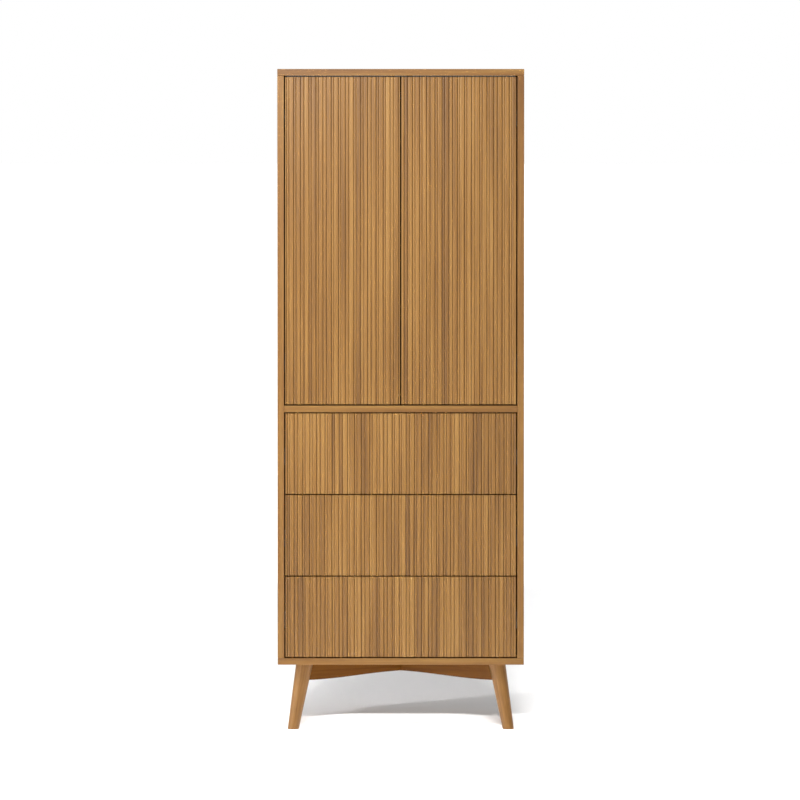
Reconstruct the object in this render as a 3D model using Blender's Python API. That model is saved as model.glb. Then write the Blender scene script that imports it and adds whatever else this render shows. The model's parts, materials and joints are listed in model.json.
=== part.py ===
# A tall, narrow oak armoire: two push-to-open doors over three drawers, on splayed turned legs.
# X runs to the right, the front faces -Y and Z is up. The origin is on the floor under the middle.
# Everything is in metres.
import math

import bmesh
import bpy
from mathutils import Matrix, Vector

# Overall size and carcass
WIDTH = 0.670
DEPTH = 0.500
HEIGHT = 1.800
BOARD = 0.018               # every board of the carcass
LEG_HEIGHT = 0.180          # floor to the underside of the carcass
DOOR_OPENING = 0.896        # height between the top panel and the fixed shelf
BACK_THICKNESS = 0.006
REBATE = (0.009, 0.007)     # width and depth of the side panels' rebate for the back
EASED_EDGE = 0.0004
FIT = 0.0003                # gap left between pieces that touch

# Fluted fronts
FRONT_THICKNESS = 0.020
FRONT_RECESS = 0.001        # behind the carcass's front edges
SIDE_GAP = 0.0034
MEETING_GAP = 0.0036        # between the two doors
DOOR_END_GAP = 0.0036
DRAWER_GAP = 0.0031
DEEP = 0.0036
MEDIUM = 0.0028
SHALLOW = 0.0020
GROOVE_WIDTH = 0.0018
GROOVE_FLOOR = 0.35         # of the groove's width
# One repeat of the fluting: the groove's depth, then the slat width up to the next groove.
FLUTES = ((DEEP, 0.0096), (MEDIUM, 0.0132), (DEEP, 0.0068),
          (SHALLOW, 0.0125), (DEEP, 0.0067), (SHALLOW, 0.0120))
FIRST_GROOVE = {"door_left": 0.0420, "door_right": 0.0080,
                "drawer_top": 0.0249, "drawer_middle": 0.0238, "drawer_bottom": 0.0249}

# Base
LEG_TOP_RADIUS = 0.0227
LEG_FOOT_RADIUS = 0.0152
LEG_INSET = 0.0493          # from the carcass's faces to the top of a leg
LEG_SPLAY = 0.171           # sideways run for each unit of height
LEG_SIDES = 32
FOOT_EASING = 0.0008
RAIL_THICKNESS = 0.028
RAIL_DEPTH_MIDDLE = 0.0345
RAIL_DEPTH_END = 0.0470
RAIL_CURVE_REACH = 0.300    # from the crossing to where the rail is deepest
RAIL_CURVE_STEPS = 24
TENON = (0.012, 0.024, 0.018)       # thickness, height, length

# Door hinges
CUP_RADIUS = 0.0175
CUP_DEPTH = 0.0113
CUP_WALL = 0.0015
CUP_FLANGE = (0.0205, 0.0012)       # radius, thickness
CUP_FROM_EDGE = 0.0215
HINGE_FROM_END = 0.112
# Plan view of a hinge arm as (distance from the side panel, distance behind its tip)
ARM_PLAN = ((0, 0.020), (0.0025, 0.020), (0.0025, 0.012), (0.0130, 0), (0.0165, 0),
            (0.0165, 0.014), (0.0125, 0.030), (0.0125, 0.078), (0, 0.078))
ARM_HEIGHT = 0.014
ARM_PLATE_THICKNESS = 0.0025
ARM_PLATE_BACK = (0.032, 0.070)     # from the arm's tip
ARM_PLATE_HEIGHT = 0.050
ROUND_SIDES = 32

# Hanging rail and push latches
RAIL_RADIUS = 0.0125
RAIL_WALL = 0.0015
RAIL_BELOW_TOP = 0.055
SOCKET_FLANGE = (0.024, 0.0025)     # radius, thickness
SOCKET_REACH = 0.014
SOCKET_LIP = 0.0025
LATCH_FROM_MIDDLE = 0.024
LATCH_SIZE = (0.016, 0.062, 0.014)
LATCH_BEHIND_DOOR = 0.0065
PLUNGER_EASING = 0.0006
PLUNGER_RADIUS = 0.0040
PLUNGER_LENGTH = 0.034
PLUNGER_BORE_END = 0.006    # free length behind the plunger

# Drawer boxes and their side-mounted runners
BOX_BOARD = 0.012
BOX_HEIGHT = 0.160
BOX_LENGTH = 0.450
BOX_ABOVE_FRONT = 0.020     # box's lower edge above the front's lower edge
BOX_BOTTOM = 0.006
BOX_BOTTOM_LIFT = 0.012
BOX_GROOVE = 0.005
RUNNER_SPACE = 0.0127
RUNNER_HEIGHT = 0.045
RUNNER_LENGTH = 0.440
RUNNER_SHEET = 0.0015
RUNNER_REACH = 0.0092       # of the outer channel's flanges, from the side panel
SLIDER_HEIGHT = 0.037
SLIDER_REACH = 0.0085       # of the inner channel's flanges, from the drawer box

# Colour, roughness and metallic value of each finish
FINISHES = {"oak": ((0.40, 0.22, 0.09), 0.50, 0.0),
            "oak_fluted": ((0.42, 0.24, 0.10), 0.55, 0.0),
            "plywood": ((0.60, 0.45, 0.28), 0.60, 0.0),
            "steel": ((0.55, 0.55, 0.56), 0.35, 1.0),
            "plastic": ((0.45, 0.45, 0.44), 0.50, 0.0)}

HALF_INSIDE = WIDTH / 2 - BOARD
FRONT_Y = -DEPTH / 2
BACK_Y = DEPTH / 2
FACE_Y = FRONT_Y + FRONT_RECESS
BEHIND_FRONTS = FACE_Y + FRONT_THICKNESS
CARCASS_FLOOR = LEG_HEIGHT + BOARD
CARCASS_CEILING = HEIGHT - BOARD
SHELF_TOP = CARCASS_CEILING - DOOR_OPENING
SHELF_UNDER = SHELF_TOP - BOARD
BACK_PANEL_Y = BACK_Y - REBATE[1]
SIDES = (("left", -1), ("right", 1))


def clear_scene():
    for leftover in list(bpy.data.objects):
        bpy.data.objects.remove(leftover, do_unlink=True)


def make_finish(name, finish):
    colour, roughness, metallic = FINISHES[finish]
    material = bpy.data.materials.new(name + "_" + finish)
    material.use_nodes = True
    shader = material.node_tree.nodes["Principled BSDF"]
    shader.inputs["Base Color"].default_value = (*colour, 1.0)
    shader.inputs["Roughness"].default_value = roughness
    shader.inputs["Metallic"].default_value = metallic
    return material


def add_piece(name, shape, finish, location=(0, 0, 0), parent=None, smooth=False):
    # Turns a bmesh into a named object. The location is in the object's own frame on the floor.
    bmesh.ops.recalc_face_normals(shape, faces=shape.faces)
    mesh = bpy.data.meshes.new(name)
    shape.to_mesh(mesh)
    shape.free()
    if smooth:
        mesh.shade_smooth()
        mesh.set_sharp_from_angle(angle=math.radians(35))
    piece = bpy.data.objects.new(name, mesh)
    bpy.context.collection.objects.link(piece)
    if finish:
        mesh.materials.append(make_finish(name, finish))
    piece.parent = parent
    piece.location = Vector(location) - (parent.location if parent else Vector())
    return piece


def add_guide(name, location):
    # An empty on a joint's axis, which carries the pieces that move together.
    guide = bpy.data.objects.new(name, None)
    guide.location = location
    bpy.context.collection.objects.link(guide)
    return guide


def box_shape(low, high):
    low, high = Vector(low), Vector(high)
    shape = bmesh.new()
    bmesh.ops.create_cube(shape, size=1.0)
    bmesh.ops.scale(shape, vec=high - low, verts=shape.verts)
    bmesh.ops.translate(shape, vec=(high + low) / 2, verts=shape.verts)
    return shape


def board(name, low, high, finish, parent=None):
    # A flat board between two opposite corners, with its edges lightly eased.
    middle = (Vector(low) + Vector(high)) / 2
    shape = box_shape(Vector(low) - middle, Vector(high) - middle)
    piece = add_piece(name, shape, finish, middle, parent)
    easing = piece.modifiers.new("eased edges", "BEVEL")
    easing.width = EASED_EDGE
    easing.segments = 1
    easing.limit_method = "NONE"
    return piece


def prism_shape(outline, axis, length):
    # Pushes a flat outline along an axis. Its points are in the two other axes, in X, Y, Z order.
    along = "XYZ".index(axis)
    shape = bmesh.new()
    corners = []
    for first, second in outline:
        point = [first, second]
        point.insert(along, 0.0)
        corners.append(shape.verts.new(point))
    face = shape.faces.new(corners)
    pushed = bmesh.ops.extrude_face_region(shape, geom=[face])["geom"]
    step = Vector((0, 0, 0))
    step[along] = length
    moved = [item for item in pushed if isinstance(item, bmesh.types.BMVert)]
    bmesh.ops.translate(shape, verts=moved, vec=step)
    return shape


def turned_shape(profile, closed=False, sides=ROUND_SIDES):
    # Spins a profile of (radius, height) points about Z. A closed profile makes a ring or a tube.
    shape = bmesh.new()
    points = [shape.verts.new((radius, 0, height)) for radius, height in profile]
    pairs = list(zip(points, points[1:]))
    if closed:
        pairs.append((points[-1], points[0]))
    edges = [shape.edges.new(pair) for pair in pairs]
    bmesh.ops.spin(shape, geom=points + edges, cent=(0, 0, 0), axis=(0, 0, 1),
                   angle=2 * math.pi, steps=sides, use_merge=True)
    bmesh.ops.remove_doubles(shape, verts=shape.verts, dist=0.00001)
    return shape


def turn(shape, degrees, axis):
    bmesh.ops.rotate(shape, cent=(0, 0, 0), matrix=Matrix.Rotation(math.radians(degrees), 3, axis),
                     verts=shape.verts)
    return shape


def combine(piece, operation, shape, location, parent=None):
    # Joins a hidden helper shape to a piece, or cuts it away.
    helper = add_piece(piece.name + "_" + operation.lower(), shape, None, location, parent)
    helper.hide_render = True
    helper.display_type = "WIRE"
    change = piece.modifiers.new(operation.lower(), "BOOLEAN")
    change.operation = operation
    change.object = helper


def make_carcass():
    half = WIDTH / 2
    board("top_panel", (-half, FRONT_Y, CARCASS_CEILING), (half, BACK_Y, HEIGHT), "oak")
    board("bottom_panel", (-half, FRONT_Y, LEG_HEIGHT), (half, BACK_Y, CARCASS_FLOOR), "oak")
    inside = HALF_INSIDE - FIT
    board("middle_shelf", (-inside, FRONT_Y, SHELF_UNDER), (inside, BACK_PANEL_Y - FIT, SHELF_TOP), "oak")
    low, high = CARCASS_FLOOR + FIT, CARCASS_CEILING - FIT
    for side, sign in SIDES:
        # The side panels stand between top and bottom, and are rebated for the back.
        inner, outer = sign * HALF_INSIDE, sign * half
        lip = inner + sign * REBATE[0]
        outline = [(inner, FRONT_Y), (outer, FRONT_Y), (outer, BACK_Y), (lip, BACK_Y),
                   (lip, BACK_PANEL_Y), (inner, BACK_PANEL_Y)]
        add_piece("side_panel_" + side, prism_shape(outline, "Z", high - low), "oak", (0, 0, low))
    reach = HALF_INSIDE + REBATE[0] - FIT
    board("back_panel", (-reach, BACK_PANEL_Y + FIT, low),
          (reach, BACK_PANEL_Y + FIT + BACK_THICKNESS, high), "plywood")


def leg_top(sign_x, sign_y):
    inset = LEG_INSET + LEG_TOP_RADIUS
    return Vector((sign_x * (WIDTH / 2 - inset), sign_y * (DEPTH / 2 - inset), LEG_HEIGHT))


def leg_up_direction(top):
    # Legs splay along the diagonals of the base.
    run = LEG_SPLAY / abs(top.x)
    return Vector((-top.x * run, -top.y * run, 1.0)).normalized()


def leg_shape(top, extra=0.0):
    # An untrimmed tapered turning, tilted about the middle of its top.
    up = leg_up_direction(top)
    length = LEG_HEIGHT / up.z
    taper = (LEG_TOP_RADIUS - LEG_FOOT_RADIUS) / length
    over = LEG_TOP_RADIUS
    high_radius = LEG_TOP_RADIUS + taper * over + extra
    low_radius = LEG_FOOT_RADIUS - taper * over + extra
    profile = [(0, -length - over), (low_radius, -length - over), (high_radius, over), (0, over)]
    shape = turned_shape(profile, sides=LEG_SIDES)
    tilt = Vector((0, 0, 1)).rotation_difference(up).to_matrix()
    bmesh.ops.rotate(shape, cent=(0, 0, 0), matrix=tilt, verts=shape.verts)
    return shape


def trim_level(shape, height, keep_below):
    # Saws a shape off level and closes the cut.
    parts = shape.verts[:] + shape.edges[:] + shape.faces[:]
    bmesh.ops.bisect_plane(shape, geom=parts, plane_co=(0, 0, height), plane_no=(0, 0, 1),
                           clear_outer=keep_below, clear_inner=not keep_below)
    rim = [edge for edge in shape.edges if edge.is_boundary]
    return bmesh.ops.edgeloop_fill(shape, edges=rim)["faces"][0]


def tenon_shape(top, extra):
    # The tongue on a rail's end. It stops short of the leg's centre line.
    angle = math.atan2(top.y, top.x)
    thickness, height, length = TENON
    middle_depth = RAIL_DEPTH_END / 2
    reach = math.hypot(top.x, top.y)
    start = reach - LEG_TOP_RADIUS - length / 2
    end = reach + extra
    low = LEG_HEIGHT - middle_depth - height / 2 - extra
    shape = box_shape((start, -thickness / 2 - extra, low), (end, thickness / 2 + extra, low + height + 2 * extra))
    return turn(shape, math.degrees(angle), "Z")


def make_legs():
    for side, sign_x in SIDES:
        for end, sign_y in (("front", -1), ("back", 1)):
            top = leg_top(sign_x, sign_y)
            shape = leg_shape(top)
            trim_level(shape, -FIT, keep_below=True)
            foot = trim_level(shape, -LEG_HEIGHT, keep_below=False)
            bmesh.ops.bevel(shape, geom=foot.edges[:], offset=FOOT_EASING, segments=1, profile=0.5,
                            affect="EDGES", material=-1)
            leg = add_piece("leg_" + end + "_" + side, shape, "oak", top, smooth=True)
            combine(leg, "DIFFERENCE", tenon_shape(top, FIT), (0, 0, 0))


def rail_outline():
    # Side view of a cross rail: flat on top, thinner where the rails cross, deepest near the legs.
    reach = math.hypot(leg_top(1, 1).x, leg_top(1, 1).y)
    outline = []
    for step in range(RAIL_CURVE_STEPS + 1):
        along = reach * (2 * step / RAIL_CURVE_STEPS - 1)
        swell = (1 - math.cos(math.pi * min(abs(along) / RAIL_CURVE_REACH, 1.0))) / 2
        depth = RAIL_DEPTH_MIDDLE + (RAIL_DEPTH_END - RAIL_DEPTH_MIDDLE) * swell
        outline.append((along, LEG_HEIGHT - depth))
    return outline + [(reach, LEG_HEIGHT - FIT), (-reach, LEG_HEIGHT - FIT)]


def make_cross_rails():
    corner = leg_top(1, 1)
    angle = math.degrees(math.atan2(corner.y, corner.x))
    middle = LEG_HEIGHT - RAIL_DEPTH_MIDDLE / 2
    lap_length = RAIL_THICKNESS * 4
    half = RAIL_THICKNESS / 2 + FIT
    # Each rail is halved over the other: one loses its upper half at the crossing, one its lower.
    laps = {"cross_rail_lower": (1, middle - FIT / 2, LEG_HEIGHT + BOARD),
            "cross_rail_upper": (-1, LEG_HEIGHT - BOARD * 3, middle + FIT / 2)}
    for name, (turn_sign, lap_low, lap_high) in laps.items():
        shape = prism_shape(rail_outline(), "Y", RAIL_THICKNESS)
        bmesh.ops.translate(shape, vec=(0, -RAIL_THICKNESS / 2, 0), verts=shape.verts)
        turn(shape, turn_sign * angle, "Z")
        rail = add_piece(name, shape, "oak")
        lap = box_shape((-lap_length / 2, -half, lap_low), (lap_length / 2, half, lap_high))
        combine(rail, "DIFFERENCE", turn(lap, -turn_sign * angle, "Z"), (0, 0, 0))
        for sign in (-1, 1):
            top = leg_top(sign, sign * turn_sign)
            combine(rail, "DIFFERENCE", leg_shape(top, FIT), top)
            combine(rail, "UNION", tenon_shape(top, 0.0), (0, 0, 0))


def groove_places(width, first):
    # The centre and depth of every groove across a front, measured from its left edge.
    repeat = sum(slat for depth, slat in FLUTES)
    place = first - repeat
    places = []
    while place < width:
        for depth, slat in FLUTES:
            if GROOVE_WIDTH < place < width - GROOVE_WIDTH:
                places.append((place, depth))
            place += slat
    return places


def fluted_outline(width, first, left):
    # Plan view of a fluted front, with its face at zero and its left edge at the given place.
    outline = [(left, 0)]
    mouth, floor = GROOVE_WIDTH / 2, GROOVE_WIDTH * GROOVE_FLOOR / 2
    for place, depth in groove_places(width, first):
        centre = left + place
        outline += [(centre - mouth, 0), (centre - floor, depth), (centre + floor, depth), (centre + mouth, 0)]
    return outline + [(left + width, 0), (left + width, FRONT_THICKNESS), (left, FRONT_THICKNESS)]


def cup_shape(radius, depth, floor_only):
    # A hinge cup with its mouth at zero, facing +Y, or the plain pocket that it sits in.
    profile = [(0, -depth), (radius, -depth)]
    if floor_only:
        profile += [(radius, depth), (0, depth)]
    else:
        flange_radius, flange = CUP_FLANGE
        inner = radius - CUP_WALL
        profile += [(radius, FIT), (flange_radius, FIT), (flange_radius, FIT + flange),
                    (inner, FIT + flange), (inner, CUP_WALL - depth), (0, CUP_WALL - depth)]
    return turn(turned_shape(profile), -90, "X")


def hinge_arm(name, side_sign, height):
    # The mounting plate and the cranked arm that reaches forward to the cup.
    wall = side_sign * (HALF_INSIDE - FIT)
    inward = -side_sign
    tip = BEHIND_FRONTS + CUP_FLANGE[1] + 3 * FIT
    outline = [(inward * across, back) for across, back in ARM_PLAN]
    shape = prism_shape(outline, "Z", ARM_HEIGHT)
    bmesh.ops.translate(shape, vec=(0, 0, -ARM_HEIGHT / 2), verts=shape.verts)
    arm = add_piece(name, shape, "steel", (wall, tip, height))
    front, back = ARM_PLATE_BACK
    plate = box_shape((0, front, -ARM_PLATE_HEIGHT / 2), (ARM_PLATE_THICKNESS, back, ARM_PLATE_HEIGHT / 2))
    bmesh.ops.scale(plate, vec=(inward, 1, 1), verts=plate.verts)
    combine(arm, "UNION", plate, (wall, tip, height))


def make_doors():
    width = HALF_INSIDE - SIDE_GAP - MEETING_GAP / 2
    low = SHELF_TOP + DOOR_END_GAP
    height = DOOR_OPENING - 2 * DOOR_END_GAP
    for side, sign in SIDES:
        axis = Vector((sign * (HALF_INSIDE - SIDE_GAP), FACE_Y, low))
        guide = add_guide("door_" + side + "_hinge_axis", axis)
        left = 0 if sign < 0 else -width
        outline = fluted_outline(width, FIRST_GROOVE["door_" + side], left)
        door = add_piece("door_" + side, prism_shape(outline, "Z", height), "oak_fluted", axis, guide)
        for end, rise in (("bottom", HINGE_FROM_END), ("top", height - HINGE_FROM_END)):
            centre = axis + Vector((-sign * CUP_FROM_EDGE, FRONT_THICKNESS, rise))
            pocket = cup_shape(CUP_RADIUS + FIT, CUP_DEPTH + FIT, floor_only=True)
            combine(door, "DIFFERENCE", pocket, centre, guide)
            cup = cup_shape(CUP_RADIUS, CUP_DEPTH, floor_only=False)
            add_piece("hinge_cup_" + side + "_" + end, cup, "steel", centre, guide, smooth=True)
            hinge_arm("hinge_arm_" + side + "_" + end, sign, low + rise)


def make_hanging_rail():
    height = CARCASS_CEILING - RAIL_BELOW_TOP
    flange, plate = SOCKET_FLANGE
    clear = RAIL_RADIUS + FIT
    lip = clear + SOCKET_LIP
    profile = [(0, 0), (flange, 0), (flange, plate), (lip, plate), (lip, SOCKET_REACH),
               (clear, SOCKET_REACH), (clear, plate), (0, plate)]
    for side, sign in SIDES:
        socket = turn(turned_shape(profile), -sign * 90, "Y")
        add_piece("rail_socket_" + side, socket, "steel", (sign * (HALF_INSIDE - FIT), 0, height), smooth=True)
    half = HALF_INSIDE - 2 * FIT - plate
    inner = RAIL_RADIUS - RAIL_WALL
    tube = turned_shape([(RAIL_RADIUS, -half), (RAIL_RADIUS, half), (inner, half), (inner, -half)], closed=True)
    add_piece("hanging_rail", turn(tube, 90, "Y"), "steel", (0, 0, height), smooth=True)


def make_push_latches():
    width, length, height = LATCH_SIZE
    front = BEHIND_FRONTS + LATCH_BEHIND_DOOR
    centre_z = CARCASS_CEILING - FIT - height / 2
    tip = BEHIND_FRONTS + FIT
    bore = PLUNGER_RADIUS + FIT
    bore_length = tip + PLUNGER_LENGTH + PLUNGER_BORE_END - front
    for side, sign in SIDES:
        x = sign * LATCH_FROM_MIDDLE
        housing = board("latch_housing_" + side, (x - width / 2, front, centre_z - height / 2),
                        (x + width / 2, front + length, centre_z + height / 2), "plastic")
        hole = turned_shape([(0, -bore_length), (bore, -bore_length), (bore, bore_length), (0, bore_length)])
        combine(housing, "DIFFERENCE", turn(hole, -90, "X"), (x, front, centre_z))
        profile = [(0, 0), (PLUNGER_RADIUS - PLUNGER_EASING, 0), (PLUNGER_RADIUS, PLUNGER_EASING),
                   (PLUNGER_RADIUS, PLUNGER_LENGTH), (0, PLUNGER_LENGTH)]
        shape = turn(turned_shape(profile), -90, "X")
        guide = add_guide("latch_plunger_" + side + "_axis", (x, tip, centre_z))
        add_piece("latch_plunger_" + side, shape, "plastic", (x, tip, centre_z), guide, smooth=True)


def make_runner(name, wall, direction, height, reach, start, middle_z, parent):
    # A folded steel channel on a wall, with its flanges towards the given side.
    sheet = RUNNER_SHEET
    half = height / 2
    plan = [(0, -half), (reach, -half), (reach, sheet - half), (sheet, sheet - half),
            (sheet, half - sheet), (reach, half - sheet), (reach, half), (0, half)]
    outline = [(direction * across, up) for across, up in plan]
    shape = prism_shape(outline, "Y", RUNNER_LENGTH)
    add_piece(name, shape, "steel", (wall, start, middle_z), parent)


def grooved_board_outline(inner_sign):
    # Section of a drawer board: upright, with a groove for the bottom on its inner face.
    face = inner_sign * BOX_BOARD / 2
    deep = face - inner_sign * BOX_GROOVE
    low = BOX_BOTTOM_LIFT
    high = BOX_BOTTOM_LIFT + BOX_BOTTOM + 2 * FIT
    return [(-face, 0), (face, 0), (face, low), (deep, low), (deep, high), (face, high),
            (face, BOX_HEIGHT), (-face, BOX_HEIGHT)]


def make_drawer(name, low, height):
    half_front = HALF_INSIDE - SIDE_GAP
    guide = add_guide(name + "_slide_axis", (0, FACE_Y, low + height / 2))
    outline = fluted_outline(2 * half_front, FIRST_GROOVE[name], 0)
    add_piece(name + "_front", prism_shape(outline, "Z", height), "oak_fluted", (-half_front, FACE_Y, low), guide)

    box_low = low + BOX_ABOVE_FRONT
    box_front = BEHIND_FRONTS + FIT
    box_back = box_front + BOX_LENGTH
    half_box = HALF_INSIDE - RUNNER_SPACE
    runner_z = box_low + BOX_HEIGHT / 2
    for side, sign in SIDES:
        shape = prism_shape(grooved_board_outline(-sign), "Y", BOX_LENGTH)
        middle = sign * (half_box - BOX_BOARD / 2)
        add_piece(name + "_side_" + side, shape, "plywood", (middle, box_front, box_low), guide)
        start = box_front + FIT
        make_runner(name + "_runner_fixed_" + side, sign * (HALF_INSIDE - FIT), -sign, RUNNER_HEIGHT,
                    RUNNER_REACH, start, runner_z, None)
        make_runner(name + "_runner_sliding_" + side, sign * (half_box + FIT), sign, SLIDER_HEIGHT,
                    SLIDER_REACH, start, runner_z, guide)
    inside = half_box - BOX_BOARD - FIT
    for end, inner_sign, middle in (("box_front", 1, box_front + BOX_BOARD / 2),
                                    ("box_back", -1, box_back - BOX_BOARD / 2)):
        shape = prism_shape(grooved_board_outline(inner_sign), "X", 2 * inside)
        add_piece(name + "_" + end, shape, "plywood", (-inside, middle, box_low), guide)
    reach = BOX_GROOVE - 2 * FIT
    floor = box_low + BOX_BOTTOM_LIFT + FIT
    board(name + "_bottom", (-inside - reach, box_front + BOX_BOARD - reach, floor),
          (inside + reach, box_back - BOX_BOARD + reach, floor + BOX_BOTTOM), "plywood", guide)


def make_drawers():
    opening = SHELF_UNDER - CARCASS_FLOOR
    height = (opening - 4 * DRAWER_GAP) / 3
    for place, name in enumerate(("drawer_bottom", "drawer_middle", "drawer_top")):
        low = CARCASS_FLOOR + DRAWER_GAP + place * (height + DRAWER_GAP)
        make_drawer(name, low, height)


clear_scene()
make_carcass()
make_legs()
make_cross_rails()
make_doors()
make_hanging_rail()
make_push_latches()
make_drawers()
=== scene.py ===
import json
import math
import random

import bmesh
import bpy
from mathutils import Matrix, Vector

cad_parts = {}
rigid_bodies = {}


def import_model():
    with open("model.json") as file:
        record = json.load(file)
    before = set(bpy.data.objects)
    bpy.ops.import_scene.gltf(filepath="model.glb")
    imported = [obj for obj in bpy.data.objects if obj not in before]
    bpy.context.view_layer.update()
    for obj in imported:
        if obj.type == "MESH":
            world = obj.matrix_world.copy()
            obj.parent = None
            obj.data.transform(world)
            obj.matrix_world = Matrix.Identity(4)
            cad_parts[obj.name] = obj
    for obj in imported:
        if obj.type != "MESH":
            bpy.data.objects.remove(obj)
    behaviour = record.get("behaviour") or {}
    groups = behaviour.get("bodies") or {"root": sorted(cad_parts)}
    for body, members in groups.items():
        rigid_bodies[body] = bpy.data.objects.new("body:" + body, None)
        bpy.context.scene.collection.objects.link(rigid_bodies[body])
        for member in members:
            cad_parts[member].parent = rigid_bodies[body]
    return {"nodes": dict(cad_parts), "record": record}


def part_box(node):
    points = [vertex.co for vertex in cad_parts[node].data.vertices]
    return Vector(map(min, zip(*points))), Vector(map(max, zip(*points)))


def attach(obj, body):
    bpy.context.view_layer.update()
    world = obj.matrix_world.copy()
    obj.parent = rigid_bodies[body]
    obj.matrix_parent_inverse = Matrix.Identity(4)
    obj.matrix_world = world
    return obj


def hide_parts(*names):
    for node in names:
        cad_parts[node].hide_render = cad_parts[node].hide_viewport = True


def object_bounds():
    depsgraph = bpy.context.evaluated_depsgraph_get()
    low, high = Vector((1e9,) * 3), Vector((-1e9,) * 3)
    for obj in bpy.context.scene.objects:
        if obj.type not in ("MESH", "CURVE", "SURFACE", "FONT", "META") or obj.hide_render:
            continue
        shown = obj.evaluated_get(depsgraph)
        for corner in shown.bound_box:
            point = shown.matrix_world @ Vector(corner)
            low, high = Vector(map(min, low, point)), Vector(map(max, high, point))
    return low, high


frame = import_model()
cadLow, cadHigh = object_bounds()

nodes = frame["nodes"]
bodyOf = {node: body for body, members in frame["record"]["behaviour"]["bodies"].items() for node in members}
slotOf = {entry["node"]: entry["material_slot"] for entry in frame["record"]["subparts"]}
print("stage 1: frame loaded,", len(nodes), "nodes")


def hexToLinear(code):
    # sRGB hex, as a colour picker shows it, to the linear values that Blender mixes
    channels = [int(code[i:i + 2], 16) / 255 for i in (1, 3, 5)]
    return tuple(c / 12.92 if c <= 0.04045 else ((c + 0.055) / 1.055) ** 2.4 for c in channels) + (1.0,)


def addNode(tree, kind, settings=None, links=None):
    # one node with its settings and what feeds its inputs: a value, a socket, or a node's first output
    node = tree.nodes.new(kind)
    for key, value in (settings or {}).items():
        setattr(node, key, value)
    for key, source in (links or {}).items():
        if isinstance(source, bpy.types.Node):
            source = source.outputs[0]
        if isinstance(source, bpy.types.NodeSocket):
            tree.links.new(source, node.inputs[key])
        else:
            node.inputs[key].default_value = source
    return node


def newMaterial(name):
    material = bpy.data.materials.new(name)
    material.use_nodes = True
    return material, material.node_tree, material.node_tree.nodes["Principled BSDF"]


def setRamp(node, places, colours):
    ramp = node.color_ramp
    while len(ramp.elements) < len(places):
        ramp.elements.new(0.5)
    for element, place, colour in zip(ramp.elements, places, colours):
        element.position = place
        element.color = hexToLinear(colour)


# Wooden pieces carry a "grain" attribute: metres across the board in X and Y, along it in Z.
# Rift-cut oak veneer under clear matt lacquer: straight soft bands of warm honey brown with a low sheen.
oakVeneer = {
    "colours": ("#633F1A", "#7A5426", "#8C6834"),   # dark, middle and light wood
    "ramp": (0.31, 0.50, 0.71),                     # closer places give more contrast
    "figureWidth": 0.045, "figureLength": 0.90,     # slow drift of tone over a leaf of veneer
    "bandWidth": 0.0070, "bandLength": 0.35,        # growth rings seen edge on
    "poreWidth": 0.0014, "poreLength": 0.030,       # real pores are 0.3 mm wide, drawn coarser to show
    "figureShare": 0.45, "bandShare": 0.55, "slatShare": 0.0,
    "poreRange": (0.52, 0.72), "poreShade": 0.20, "poreTint": "#7A5426", "poreRoughness": 0.14,
    "roughness": 0.38, "gloss": 0.31, "bump": 0.10, "poreDepth": 0.0003}

# oak strips glued side by side and fluted: finer rings, and every slat in its own tone
oakFluted = dict(oakVeneer, colours=("#614019", "#7F5823", "#977038"), bandWidth=0.0045, slatShare=0.75,
                 poreShade=0.22, roughness=0.34, gloss=0.42, bump=0.06)

# solid oak turned on a lathe: the rings run out along the taper
oakTurned = dict(oakVeneer, colours=("#67441D", "#815A2A", "#936D39"), bandWidth=0.0050, bandLength=0.25,
                 gloss=0.34)

# rails in a darker oak that stands in for the shadow under the carcass, painted shade, and hardly glossy
oakRailsShaded = dict(oakVeneer, colours=("#4A2B0A", "#653D0D", "#784C16"), gloss=0.10)

# oak-faced board for the back: the same veneer left duller
oakBack = dict(oakVeneer, roughness=0.6)

# birch plywood under matt lacquer: pale, with a faint wide figure and striped cut edges
birchPlywood = dict(oakVeneer, colours=("#B79A6F", "#CBB187", "#D8C29C"), figureWidth=0.060,
                    figureLength=0.50, bandWidth=0.012, bandLength=0.30, poreWidth=0.0016,
                    poreLength=0.018, poreShade=0.10, roughness=0.55, gloss=0.35, bump=0.05,
                    plyPitch=0.0020,        # two plies of 1 mm, of which one shows dark end grain
                    plyShade=0.55, plyFade=0.7)


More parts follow.
